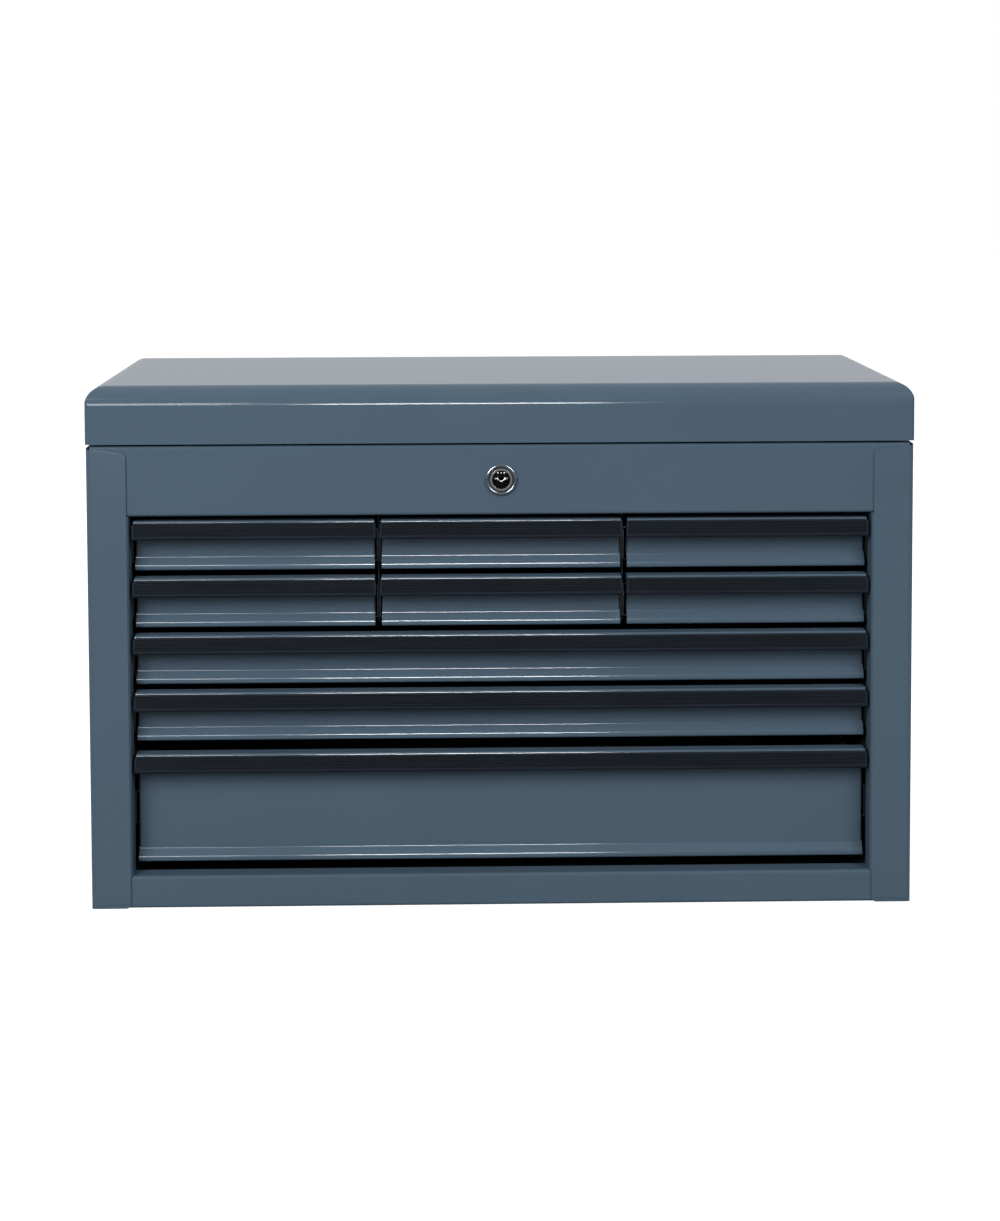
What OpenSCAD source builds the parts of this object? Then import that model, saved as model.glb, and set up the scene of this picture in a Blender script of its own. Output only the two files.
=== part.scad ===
// Nine-drawer steel tool chest with a lift-up lid over a top till.
// Millimetres. The origin is on the floor under the middle of the cabinet,
// X runs to the right, Y to the back and Z up. The front is at -body_d / 2.

/* [Cabinet] */
// Width of the cabinet
body_w = 660; // [560:1:760]
// Depth of the cabinet, front face to rear flange
body_d = 305; // [280:1:420]
// Thickness of the cabinet and lid sheet
sheet_t = 1; // [0.8:0.1:1.5]
// Inside radius of a bend in the cabinet sheet
bend_r = 1.5; // [1:0.1:2]
// Width of each corner post on the front
post_w = 33; // [26:1:50]
// Depth of the return that lines the drawer opening
post_return = 22; // [16:1:28]
// How far a post face is cut back where it laps a rail
post_relief = 1.6; // [1:0.1:3]
// Radius of the lapped corners of a post face
post_corner_r = 4; // [2:0.5:6]
// Fall of a post face's top edge towards the opening
post_fall = 2.6; // [0:0.1:4]
// Width of the flange that a side panel turns onto the back
rear_flange_w = 15; // [10:1:25]
// Width of the rim turned in around the top of the cabinet
rim_w = 12; // [9:1:16]
// Height of the rail below the drawers
bottom_rail_h = 26; // [18:1:40]
// Height of the rail above the drawers, which holds the lock
top_rail_h = 56.3; // [50:0.1:80]
// Depth of the returns of both rails
rail_return = 22; // [16:1:28]
// Height of the flanges folded up from the pan and the till floor
pan_flange_h = 12; // [8:1:18]

/* [Lid] */
// Height of the lid
lid_h = 46; // [40:1:70]
// Open seam between the cabinet and the lid
lid_seam = 1.5; // [1:0.1:2.5]
// Radius of the lid's front and side top edges
lid_bend_r = 15; // [8:1:20]
// Radius of the lid's rear top edge
lid_rear_r = 4; // [2:0.5:8]
// Radius of the lid's upright corners
lid_corner_r = 3; // [2:0.5:5]
// Width of the hem turned in around the lid's lower edge
lid_hem_w = 12; // [9:0.5:14]
// Overhang of the lid past the front and sides of the cabinet
lid_overhang = 0.6; // [0.2:0.1:1.5]
// Radius of the rubber bumpers under the lid
bumper_r = 3.5; // [2:0.5:4]
// Distance of each bumper from the middle of the chest
bumper_x = 250; // [200:5:260]

/* [Hinge] */
// Length of the piano hinge
hinge_l = 530; // [400:10:534]
// Number of knuckles along the hinge, both leaves together
hinge_knuckles = 20; // [12:2:24]
// Radius of the knuckles
knuckle_r = 3; // [2.6:0.1:3.2]
// Number of rivets in each leaf
hinge_rivets = 6; // [4:1:9]
// Radius of the hinge pin
hinge_pin_r = 1.5; // [1.2:0.1:1.6]
// Thickness of the hinge leaves
leaf_t = 1.2; // [0.8:0.1:1.4]
// Width of each leaf from the pin's axis
leaf_w = 22; // [16:1:30]
// Angle at which the stops hold the open lid
lid_open_angle = 95; // [92:1:98]
// Width of each lid stop
stop_w = 16; // [12:1:20]
// Gap between each lid stop and the end of the hinge
stop_gap = 6; // [3:0.5:10]
// Thickness of the lid stops
stop_t = 1.5; // [1.2:0.1:2]
// Reach of a lid stop behind the hinge axis
stop_reach = 14; // [12:1:18]

/* [Drawer fronts] */
// Thickness of the drawer sheet
drawer_t = 0.8; // [0.6:0.1:1]
// Inside radius of a bend in a drawer front
drawer_bend_r = 1; // [0.8:0.1:1.2]
// Height of a shallow drawer front
shallow_front_h = 41.3; // [38:0.1:55]
// Height of the deep drawer front
deep_front_h = 90.3; // [80:0.1:130]
// Gap between one shallow front and the next
row_gap = 4.9; // [3.5:0.1:8]
// Gap above the deep front
deep_gap = 8.7; // [4:0.1:12]
// Gap above the top row
top_gap = 4.4; // [3:0.1:9]
// Gap below the deep front
bottom_gap = 7.9; // [4:0.1:12]
// Gap between the opening and the fronts at each side
side_gap = 2.2; // [1.5:0.1:4]
// Gap between neighbouring fronts in the upper rows
column_gap = 3.2; // [3:0.1:6]
// Distance of the pulls behind the front of the cabinet
front_recess = 3; // [1:0.5:6]
// Distance from the front of a pull back to the drawer face
pull_reach = 18; // [15:0.5:22]
// How far the foot of a front steps forward from its face
step_out = 5; // [3:0.1:7]
// Slope of that step from the upright
step_angle = 42; // [35:1:50]
// Height of the upright foot below the step
toe_h = 4; // [3.6:0.1:6]
// Depth of the return under a front, from its foot
toe_return = 14; // [11:0.5:18]
// Height of the flange that carries the pull
pull_flange_h = 13; // [11:0.5:14]
// Depth of the returns at the two ends of a face
end_return = 9; // [6:0.5:11]

/* [Pulls] */
// Height of a pull
pull_h = 14; // [13:0.5:16]
// Thickness of a pull's ribbed face
pull_t = 3; // [2.5:0.1:4]
// How far the pull's top edge lies below the top of the front
pull_drop = 1.5; // [1:0.1:2]
// Thickness of the clip behind the ribbed face
pull_clip_t = 1.3; // [1:0.1:1.6]
// Radius of the pull's lower front edge
pull_nose_r = 2.4; // [1.5:0.1:2.5]
// Radius of the two upper corners of a pull, seen from the front
pull_corner_r = 2.4; // [1:0.1:4]
// How far a pull reaches past each end of its drawer front
pull_overhang = 1.2; // [0:0.1:2]
// Length of the smooth band at each end of the ribs
pull_end_band = 1.8; // [1:0.1:5]
// Number of grooves between the ribs
groove_n = 6; // [3:1:6]
// Spacing of the grooves
groove_pitch = 1.65; // [1.3:0.05:1.7]
// Radius of a groove
groove_r = 0.5; // [0.3:0.05:0.6]

/* [Drawer boxes and slides] */
// Wall height of a shallow drawer box
shallow_box_h = 33; // [30:0.5:36]
// Wall height of the deep drawer box
deep_box_h = 80; // [60:1:84]
// Hem turned in along the top of the box sides
box_hem = 4; // [3:0.5:6]
// Free depth behind the drawer boxes
box_rear_gap = 12; // [6:1:20]
// Height of a slide
slide_h = 27; // [25:0.5:28]
// Space that a slide takes between cabinet and drawer box
slide_t = 9.5; // [9.5:0.1:11]
// Thickness of the slide members
slide_sheet_t = 1; // [0.9:0.05:1.1]
// Distance from the front of a box to the front of its slides
slide_front_gap = 12; // [10:1:20]
// Length of slide that stays engaged in a fully open drawer
slide_engaged_l = 64; // [50:1:80]
// Radius of the bearing balls
ball_r = 1.6; // [1.4:0.05:1.7]
// Clearance between a ball and the race above or below it
ball_clearance = 0.15; // [0.1:0.01:0.25]
// Number of balls in each row of a cage
ball_n = 5; // [3:1:6]

/* [Lock] */
// Radius of the lock barrel
barrel_r = 9.4; // [9:0.1:9.6]
// Length of the barrel behind the rail's face
barrel_l = 21; // [18:0.5:26]
// Radius of the plug that the key turns
plug_r = 7.3; // [6.5:0.1:7.6]
// Running clearance round the plug
plug_clearance = 0.05; // [0.03:0.01:0.1]
// Radius of the trim ring round the lock
bezel_r = 12.6; // [12.2:0.1:15]
// Height of the trim ring
bezel_h = 2.6; // [1.5:0.1:3]
// Height of the keyway
key_h = 4.2; // [3:0.1:5]
// Thickness of the nut behind the rail
nut_h = 4; // [3:0.5:6]
// Reach of the nut's corners past the barrel
nut_rim = 4.4; // [3:0.1:6]
// Reach of the strike past the barrel at each side
strike_reach = 2; // [1:0.5:5]
// Length of the cam from the plug's axis
cam_l = 22; // [21:0.5:23]
// Width of the cam
cam_w = 9; // [8:0.5:10]
// Thickness of the cam and of the strike that it catches
cam_t = 2; // [1.5:0.1:2.2]

/* [Side handles] */
// Height of the handle pivots above the floor
handle_z = 285; // [230:5:300]
// Distance between the outsides of a handle's two ears
handle_span = 120; // [100:2:140]
// Length of each ear along the pivot
ear_l = 10; // [8:1:14]
// Outer radius of an ear
ear_r = 5.5; // [5:0.1:6.5]
// Radius of the rod that a handle is bent from
rod_r = 3; // [2.5:0.1:3.5]
// Radius of the rivet heads on the handle plates and the hinge
rivet_r = 3.2; // [2.5:0.1:3.5]
// Radius to which that rod is bent, at its centreline
rod_bend_r = 8; // [6:0.5:10]
// Drop of the grip below the pivots
handle_drop = 46; // [40:1:60]
// Radius of the moulded grip
grip_r = 6; // [5:0.5:6.5]
// Thickness of the plate that carries the ears
plate_t = 1.5; // [1.2:0.1:2]
// Height of that plate
plate_h = 34; // [28:1:40]

/* [Hidden] */
$fn = 64;
eps = 0.01;
fit_gap = 0.3;
columns = 3;
shallow_rows = 4;

// Cabinet, worked out from the drawer rows
open_w = body_w - 2 * post_w;
open_h = top_gap + shallow_rows * shallow_front_h + (shallow_rows - 1) * row_gap
       + deep_gap + deep_front_h + bottom_gap;
open_top = bottom_rail_h + open_h;
body_h = open_top + top_rail_h;
bend_out = bend_r + sheet_t;
front_y = -body_d / 2;
rear_y = body_d / 2;
panel_rear_y = rear_y - sheet_t;
panel_w = body_w - 2 * (bend_out + fit_gap);
mount_x = open_w / 2 + sheet_t;

// Drawer fronts and boxes
front_span = open_w - 2 * side_gap;
column_w = (front_span - (columns - 1) * column_gap) / columns;
column_pitch = column_w + column_gap;
pull_y = front_y + front_recess;
face_y = pull_y + pull_reach;
box_y = face_y + drawer_t;
box_d = panel_rear_y - 2 * sheet_t - box_rear_gap - box_y;
end_bend = drawer_bend_r + drawer_t;

// Slides, measured across from the cabinet side
slide_y = box_y + slide_front_gap;
slide_l = box_d - slide_front_gap;
travel = slide_l - slide_engaged_l;
cage_margin = 2;
cage_l = slide_engaged_l - 2 * cage_margin;
cage_t = 0.7;
cage_s = slide_sheet_t + 0.4;
lip_s = slide_t - 2;
ball_s = lip_s - slide_sheet_t - fit_gap - ball_r;
race_gap = 2 * (ball_r + ball_clearance);
outer_race = slide_h / 2 - slide_sheet_t;
inner_race = outer_race - race_gap;
ball_v = (outer_race + inner_race) / 2;

// Lid and hinge
lid_z = body_h + lid_seam;
lid_front_y = front_y - lid_overhang;
lid_w = body_w + 2 * lid_overhang;
hinge_y = panel_rear_y + knuckle_r;
hinge_z = body_h + lid_seam / 2;
pin_clearance = 0.05;
knuckle_l = hinge_l / hinge_knuckles;
knuckle_gap = 0.4;
stop_x = (hinge_l + stop_w) / 2 + stop_gap;

// Lock
lock_z = open_top + top_rail_h / 2;
flange_r = barrel_r + 2;
flange_h = 1;
collar_r = barrel_r - 0.6;
groove_w = 1.2;
plug_inset = 0.6;
strike_gap = 0.9;
cam_z = -barrel_l - 0.5;
tail_w = 7;
notch_clearance = 1.6;

// Handles
ear_x = body_w / 2 + plate_t + ear_r;
rod_clearance = 0.1;
plate_margin = 16;
rivet_in = 7;
rivet_up = plate_h / 2 - rivet_in;

// ---- Drawer layout: drawers 1 to 6 fill two rows of three, 7 to 9 span the opening ----

function is_wide(n) = n > 2 * columns;
function column_of(n) = (n - 1) % columns;
function row_of(n) = is_wide(n) ? n - 2 * columns + 1 : floor((n - 1) / columns);
function is_deep(n) = row_of(n) == shallow_rows;

function drawer_x(n) = is_wide(n) ? 0 : (column_of(n) - 1) * column_pitch;
function drawer_w(n) = is_wide(n) ? front_span : column_w;
function front_h(n) = is_deep(n) ? deep_front_h : shallow_front_h;
function box_h(n) = is_deep(n) ? deep_box_h : shallow_box_h;
function foot_z(n) = is_deep(n)
    ? bottom_rail_h + bottom_gap
    : bottom_rail_h + bottom_gap + deep_front_h + deep_gap
      + (shallow_rows - 1 - row_of(n)) * (shallow_front_h + row_gap);
function box_z(n) = foot_z(n) + drawer_t;
function slide_z(n) = box_z(n) + box_h(n) / 2;

// The plane that a drawer's slides are fixed to on its left and right
function left_plane(n) = is_wide(n) || column_of(n) == 0
    ? -mount_x
    : drawer_x(n) - column_pitch / 2 + sheet_t / 2;
function right_plane(n) = is_wide(n) || column_of(n) == columns - 1
    ? mount_x
    : drawer_x(n) + column_pitch / 2 - sheet_t / 2;

// ---- Sheet metal helpers ----

function bend_run(turn, t, r) = (turn > 0 ? r + t : r) * tan(abs(turn) / 2);

// A stretch of a ring between two radii, from one angle through a sweep of at most 90
module ring_part(r_in, r_out, from, sweep) {
    intersection() {
        difference() {
            circle(r = r_out);
            circle(r = r_in);
        }
        polygon(concat(
            [[0, 0]],
            [for (k = [0:2]) 2 * r_out * [cos(from + sweep * k / 2), sin(from + sweep * k / 2)]]
        ));
    }
}

// The section of a folded sheet. The path lists [length, turn] from corner to corner,
// starts along +X with the sheet on its left, and turns left where the angle is positive.
module fold(path, t, r, i = 0) {
    last = i == len(path) - 1;
    turn = last ? 0 : path[i][1];
    before = i == 0 ? 0 : bend_run(path[i - 1][1], t, r);
    straight = path[i][0] - before - bend_run(turn, t, r);
    square([straight, t]);
    if (!last)
        translate([straight, turn > 0 ? t + r : -r]) {
            ring_part(r, r + t, turn > 0 ? -90 : 90, turn);
            rotate(turn)
                translate([0, turn > 0 ? -t - r : r])
                    fold(path, t, r, i + 1);
        }
}

// Extrudes a side view, drawn as [y, z], across the chest
module across(w) {
    rotate([90, 0, 90])
        translate([0, 0, -w / 2])
            linear_extrude(height = w)
                children();
}

// Extrudes a front view, drawn as [x, z], backwards from y
module backwards(y, l) {
    translate([0, y + l, 0])
        rotate([90, 0, 0])
            linear_extrude(height = l)
                children();
}

// Extrudes a plan, drawn as [x, y], between two heights
module upright(z_low, z_high) {
    translate([0, 0, z_low])
        linear_extrude(height = z_high - z_low)
            children();
}

// What a rounded corner takes off: the corner is at the origin, the shape below and left of it
module corner_waste(r) {
    difference() {
        translate([-r, -r])
            square(r + 1);
        translate([-r, -r])
            circle(r = r);
    }
}

// A domed rivet head, standing up from the origin
module rivet_head() {
    head_h = rivet_r / 2;
    dome_r = (rivet_r * rivet_r + head_h * head_h) / (2 * head_h);
    intersection() {
        translate([0, 0, head_h - dome_r])
            sphere(r = dome_r);
        cylinder(r = rivet_r, h = 2 * head_h);
    }
}

// ---- Cabinet ----

// Plan of a side panel: post return, post face, side and rear flange
module side_plan(with_return) {
    if (with_return)
        translate([open_w / 2, front_y + post_return])
            rotate(-90)
                fold([[post_return, 90], [post_w, 90], [body_d, 90], [rear_flange_w]], sheet_t, bend_r);
    else
        translate([open_w / 2 + post_relief, front_y])
            fold([[post_w - post_relief, 90], [body_d, 90], [rear_flange_w]], sheet_t, bend_r);
}

module side_panel() {
    wall_top = body_h - bend_out;
    post_x = open_w / 2 + post_relief;
    post_top = wall_top - post_fall;
    color("slategray") {
        difference() {
            union() {
                upright(0, bottom_rail_h) side_plan(false);
                upright(bottom_rail_h, open_top) side_plan(true);
                upright(open_top, wall_top) side_plan(false);
                upright(wall_top - bend_out, body_h - sheet_t)
                    translate([body_w / 2 - sheet_t, front_y + bend_out])
                        square([sheet_t, body_d - 2 * bend_out]);
            }
            backwards(front_y - 1, sheet_t + 1 + fit_gap) {
                polygon([
                    [post_x - 1, post_top], [body_w / 2 - bend_out, wall_top],
                    [body_w / 2 - bend_out, wall_top + 1], [post_x - 1, wall_top + 1]
                ]);
                translate([post_x, post_top])
                    mirror([1, 0])
                        corner_waste(post_corner_r);
                translate([post_x, 0])
                    mirror([1, 0])
                        mirror([0, 1])
                            corner_waste(post_corner_r);
            }
        }
        backwards(front_y + sheet_t + rim_w + fit_gap, body_d - 2 * (sheet_t + rim_w + fit_gap))
            translate([body_w / 2, wall_top - bend_out])
                rotate(90)
                    fold([[2 * bend_out, 90], [rim_w]], sheet_t, bend_r);
    }
}

module right_side_panel() side_panel();

module left_side_panel() mirror([1, 0, 0]) side_panel();

module back_panel() {
    color("slategray")
        across(panel_w)
            translate([panel_rear_y, sheet_t])
                rotate(90)
                    fold([[body_h - sheet_t, 90], [rim_w]], sheet_t, bend_r);
}

// One sheet: ledge under the deep drawer, bottom rail, floor and rear flange
module bottom_pan() {
    color("slategray")
        across(panel_w)
            translate([front_y + sheet_t + rail_return, bottom_rail_h - pan_flange_h / 2])
                rotate(90)
                    fold([
                        [pan_flange_h / 2, 90], [rail_return, 90], [bottom_rail_h, 90],
                        [body_d - 3 * sheet_t, 90], [pan_flange_h]
                    ], sheet_t, bend_r);
}

module front_rail() {
    color("slategray")
        difference() {
            across(panel_w)
                translate([front_y + 2 * sheet_t + rail_return, open_top + sheet_t])
                    rotate(180)
                        fold([[rail_return, -90], [top_rail_h - 2 * sheet_t, -90], [rim_w - sheet_t]],
                             sheet_t, bend_r);
            lock_frame()
                translate([0, 0, -3 * sheet_t])
                    cylinder(r = barrel_r + fit_gap / 2, h = 4 * sheet_t);
        }
}

module till_floor() {
    color("slategray")
        backwards(front_y + 2 * sheet_t + bend_r, body_d - 3 * sheet_t - 2 * bend_r)
            translate([-body_w / 2 + sheet_t, open_top + sheet_t + pan_flange_h])
                rotate(-90)
                    fold([[pan_flange_h, 90], [body_w - 2 * sheet_t, 90], [pan_flange_h]],
                         sheet_t, bend_r);
}

// Channels that stand off the side panels and bring the slides into line with the opening
module slide_mounts() {
    channel_w = post_w - 2 * sheet_t;
    channel_front = front_y + 2 * sheet_t + max(rail_return, post_return) + fit_gap;
    channel_rear = panel_rear_y - 2 * sheet_t - bend_r;
    color("gainsboro")
        for (side = [0, 1])
            mirror([side, 0, 0])
                upright(sheet_t, open_top + sheet_t)
                    translate([mount_x + channel_w, channel_rear])
                        rotate(180)
                            fold([[channel_w, 90], [channel_rear - channel_front, 90], [channel_w]],
                                 sheet_t, bend_r);
}

module drawer_dividers() {
    divider_front = slide_y;
    divider_rear = panel_rear_y - sheet_t;
    divider_top = open_top + sheet_t;
    color("slategray")
        for (side = [0, 1])
            mirror([side, 0, 0])
                translate([(column_pitch + sheet_t) / 2, 0, 0]) {
                    upright(box_z(columns + 1), divider_top)
                        translate([0, divider_front])
                            rotate(90)
                                fold([[divider_rear - divider_front, 90], [pan_flange_h]], sheet_t, bend_r);
                    backwards(divider_front, divider_rear - divider_front - bend_out)
                        translate([0, divider_top - pan_flange_h])
                            rotate(90)
                                fold([[pan_flange_h, 90], [pan_flange_h]], sheet_t, bend_r);
                }
}

// ---- Ball-bearing slides: sections are drawn as [s, v], s from the cabinet side ----

slide_bend_r = 0.5;

module outer_member() {
    lip_h = slide_sheet_t + slide_bend_r + 0.4;
    backwards(slide_y, slide_l)
        translate([lip_s, slide_h / 2 - lip_h])
            rotate(90)
                fold([[lip_h, 90], [lip_s, 90], [slide_h, 90], [lip_s, 90], [lip_h]],
                     slide_sheet_t, slide_bend_r);
}

module inner_member() {
    flange_s = cage_s + cage_t + 0.4;
    backwards(slide_y, slide_l)
        translate([flange_s, -inner_race])
            fold([[slide_t - flange_s, 90], [2 * inner_race, 90], [slide_t - flange_s]],
                 slide_sheet_t, slide_bend_r);
}

// The retainer strip and the balls that it carries, half way along the closed slide
module ball_cage() {
    cage_y = slide_y + slide_l - (slide_l + cage_l) / 2;
    arm_l = ball_s + ball_r - cage_s;
    half_h = ball_v + cage_t / 2;
    ball_pitch = cage_l / ball_n;
    backwards(cage_y, cage_l)
        translate([cage_s + arm_l, half_h])
            rotate(180)
                fold([[arm_l, 90], [2 * half_h, 90], [arm_l]], cage_t, cage_t / 2);
    for (k = [0:ball_n - 1], side = [-1, 1])
        translate([ball_s, cage_y + (k + 0.5) * ball_pitch, side * ball_v])
            sphere(r = ball_r);
}

// Places a slide piece on both sides of a drawer
module both_slides(n) {
    translate([left_plane(n), 0, slide_z(n)])
        children();
    translate([right_plane(n), 0, slide_z(n)])
        mirror([1, 0, 0])
            children();
}

module cabinet_slides() {
    color("silver")
        for (n = [1:9])
            both_slides(n) outer_member();
}

module drawer_ball_cages(n) {
    color("silver")
        both_slides(n) ball_cage();
}

// ---- Drawers ----

// Side view of a drawer front: toe return, toe, step, face, ledge and pull flange
module front_section(n) {
    toe_back_y = face_y - step_out + drawer_t;
    step_rise = step_out / tan(step_angle);
    face_h = front_h(n) - toe_h - step_rise;
    ledge_d = pull_reach - pull_t + drawer_t;
    translate([toe_back_y + toe_return, foot_z(n) + drawer_t])
        rotate(180)
            fold([
                [toe_return, -90], [toe_h - drawer_t, -step_angle],
                [step_out / sin(step_angle), step_angle], [face_h, 90],
                [ledge_d, 90], [pull_flange_h]
            ], drawer_t, drawer_bend_r);
}

// The face turns back at both ends, between the step and the ledge
module drawer_front(n) {
    half_w = drawer_w(n) / 2 - pull_overhang;
    face_low = foot_z(n) + toe_h + step_out / tan(step_angle) + end_bend;
    face_high = foot_z(n) + front_h(n) - end_bend;
    color("slategray")
        translate([drawer_x(n), 0, 0]) {
            difference() {
                across(2 * half_w) front_section(n);
                for (side = [-1, 1])
                    translate([side * half_w, face_y + drawer_t / 2, (face_low + face_high) / 2])
                        cube([2 * end_bend, drawer_t + 1, face_high - face_low], center = true);
            }
            upright(face_low, face_high)
                translate([half_w, face_y + drawer_t + end_return])
                    mirror([1, 0])
                        rotate(-90)
                            fold_end_plan(2 * half_w);
        }
}

module fold_end_plan(w) {
    reach = end_return + drawer_t;
    fold([[reach, 90], [w, 90], [reach]], drawer_t, drawer_bend_r);
}

function pull_top(n) = foot_z(n) + front_h(n) - pull_drop;

// Side view of a pull: front plate, nose and the clip that grips the flange
module pull_section(n) {
    top_z = pull_top(n);
    low_z = top_z - pull_h;
    flange_low_z = foot_z(n) + front_h(n) - pull_flange_h;
    clip_y = pull_t + drawer_t;
    translate([pull_y, 0])
        difference() {
            union() {
                translate([0, low_z])
                    square([pull_t, pull_h]);
                translate([0, low_z])
                    square([clip_y + pull_clip_t, flange_low_z - low_z]);
                translate([clip_y, low_z])
                    square([pull_clip_t, pull_h / 2]);
            }
            translate([0, low_z])
                mirror([1, 0])
                    mirror([0, 1])
                        corner_waste(pull_nose_r);
            translate([0, top_z])
                mirror([1, 0])
                    corner_waste(groove_r);
        }
}

// The grooves stop short of the ends, and the upper corners are rounded off
module drawer_pull(n) {
    top_z = pull_top(n);
    color("black")
        translate([drawer_x(n), 0, 0])
            difference() {
                across(drawer_w(n)) pull_section(n);
                across(drawer_w(n) - 2 * pull_end_band)
                    for (k = [1:groove_n])
                        translate([pull_y, top_z - k * groove_pitch])
                            circle(r = groove_r);
                backwards(pull_y - 1, pull_t + drawer_t + pull_clip_t + 2)
                    for (side = [0, 1])
                        mirror([side, 0])
                            translate([drawer_w(n) / 2, top_z])
                                corner_waste(pull_corner_r);
            }
}

// The tray with hemmed sides, and the slide members riveted to it
module drawer_box(n) {
    left_x = left_plane(n) + slide_t;
    box_w = right_plane(n) - slide_t - left_x;
    top_z = box_z(n) + box_h(n);
    color("slategray") {
        backwards(box_y, box_d)
            translate([left_x + box_hem, top_z])
                rotate(180)
                    fold([[box_hem, 90], [box_h(n), 90], [box_w, 90], [box_h(n), 90], [box_hem]],
                         drawer_t, drawer_bend_r);
        for (y = [box_y, box_y + box_d - drawer_t])
            translate([left_x + drawer_t / 2, y, box_z(n) + drawer_t / 2])
                cube([box_w - drawer_t, drawer_t, box_h(n) - drawer_t]);
    }
    color("silver")
        both_slides(n) inner_member();
}

// ---- Lid ----

// The lid's outer form, or its inside when inset by the sheet
module lid_form(inset) {
    top = lid_z + lid_h - inset;
    low = lid_z - (inset > 0 ? 1 : 0);
    half_w = lid_w / 2 - inset;
    y_front = lid_front_y + inset;
    y_rear = panel_rear_y - inset;
    intersection() {
        across(lid_w)
            difference() {
                translate([y_front, low])
                    square([y_rear - y_front, top - low]);
                translate([y_front, top])
                    mirror([1, 0])
                        corner_waste(lid_bend_r - inset);
                translate([y_rear, top])
                    corner_waste(lid_rear_r - inset);
            }
        backwards(y_front, y_rear - y_front)
            difference() {
                translate([-half_w, low])
                    square([2 * half_w, top - low]);
                for (side = [0, 1])
                    mirror([side, 0])
                        translate([half_w, top])
                            corner_waste(lid_bend_r - inset);
            }
        upright(low, top)
            difference() {
                translate([-half_w, y_front])
                    square([2 * half_w, y_rear - y_front]);
                for (side = [0, 1])
                    mirror([side, 0])
                        translate([half_w, y_front])
                            mirror([0, 1])
                                corner_waste(lid_corner_r - inset);
            }
    }
}

module lid() {
    hem_x = lid_w / 2 - lid_hem_w;
    hem_front = lid_front_y + lid_hem_w;
    hem_rear = panel_rear_y - lid_hem_w;
    color("slategray")
        difference() {
            lid_form(0);
            difference() {
                lid_form(sheet_t);
                upright(lid_z - 2, lid_z + sheet_t)
                    translate([-lid_w / 2, lid_front_y])
                        square([lid_w, panel_rear_y - lid_front_y]);
            }
            translate([-hem_x, hem_front, lid_z - 1])
                cube([2 * hem_x, hem_rear - hem_front, sheet_t + 2]);
        }
}

module lid_bumpers() {
    front_seat = front_y + sheet_t + bend_out + bumper_r;
    rear_seat = panel_rear_y - bend_out - bumper_r;
    color("black")
        for (side = [-1, 1], y = [front_seat, rear_seat])
            translate([side * bumper_x, y, body_h])
                cylinder(r = bumper_r, h = lid_seam - fit_gap);
}

// ---- Piano hinge ----

// A leaf with every second knuckle, standing up from the pin's axis or hanging below it
module hinge_leaf(first, up) {
    clear_r = knuckle_r + knuckle_gap;
    rivet_z = hinge_z + (up ? 1 : -1) * (clear_r + leaf_w) / 2;
    rivet_step = hinge_l / hinge_rivets;
    difference() {
        union() {
            translate([-hinge_l / 2, panel_rear_y, up ? hinge_z + clear_r : hinge_z - leaf_w])
                cube([hinge_l, leaf_t, leaf_w - clear_r]);
            for (k = [first:2:hinge_knuckles - 1])
                translate([-hinge_l / 2 + k * knuckle_l + knuckle_gap / 2, 0, 0]) {
                    translate([0, hinge_y, hinge_z])
                        rotate([0, 90, 0])
                            cylinder(r = knuckle_r, h = knuckle_l - knuckle_gap);
                    translate([0, panel_rear_y, up ? hinge_z : hinge_z - clear_r - 1])
                        cube([knuckle_l - knuckle_gap, leaf_t, clear_r + 1]);
                }
        }
        translate([-hinge_l / 2 - 1, hinge_y, hinge_z])
            rotate([0, 90, 0])
                cylinder(r = hinge_pin_r + pin_clearance, h = hinge_l + 2);
    }
    for (k = [0:hinge_rivets - 1])
        translate([(k + 0.5) * rivet_step - hinge_l / 2, panel_rear_y + leaf_t, rivet_z])
            rotate([-90, 0, 0])
                rivet_head();
}

module hinge_cabinet_leaf() color("silver") hinge_leaf(0, false);

module hinge_lid_leaf() color("silver") hinge_leaf(1, true);

module hinge_pin() {
    color("silver")
        translate([-hinge_l / 2 - 1, hinge_y, hinge_z])
            rotate([0, 90, 0])
                cylinder(r = hinge_pin_r, h = hinge_l + 2);
}

// Brackets on the lid whose turned-down ends meet the back when the lid is open
module lid_stops() {
    leg_low = knuckle_r + knuckle_gap;
    foot_drop = (knuckle_r + stop_reach * cos(lid_open_angle) - fit_gap / 2) / sin(lid_open_angle);
    color("slategray")
        for (side = [-1, 1])
            translate([side * stop_x, 0, 0])
                across(stop_w)
                    translate([panel_rear_y, hinge_z + leaf_w])
                        rotate(-90)
                            fold([
                                [leaf_w - leg_low, 90],
                                [knuckle_r + stop_reach - stop_t, -90],
                                [leg_low + foot_drop]
                            ], stop_t, stop_t / 2);
}

// ---- Lock: drawn in its own frame, +Z towards the viewer from the rail's face, +Y up ----

module lock_frame() {
    translate([0, front_y + sheet_t, lock_z])
        rotate([90, 0, 0])
            children();
}

// The barrel goes through the rail; its flange lies on the rail under the trim ring
module lock_body() {
    color("dimgray")
        lock_frame()
            difference() {
                union() {
                    translate([0, 0, -barrel_l])
                        cylinder(r = barrel_r, h = barrel_l);
                    cylinder(r = flange_r, h = flange_h);
                    cylinder(r = collar_r, h = bezel_h - 0.2);
                }
                translate([0, 0, -barrel_l - 1])
                    cylinder(r = plug_r + plug_clearance, h = barrel_l + bezel_h + 2);
            }
}

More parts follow.
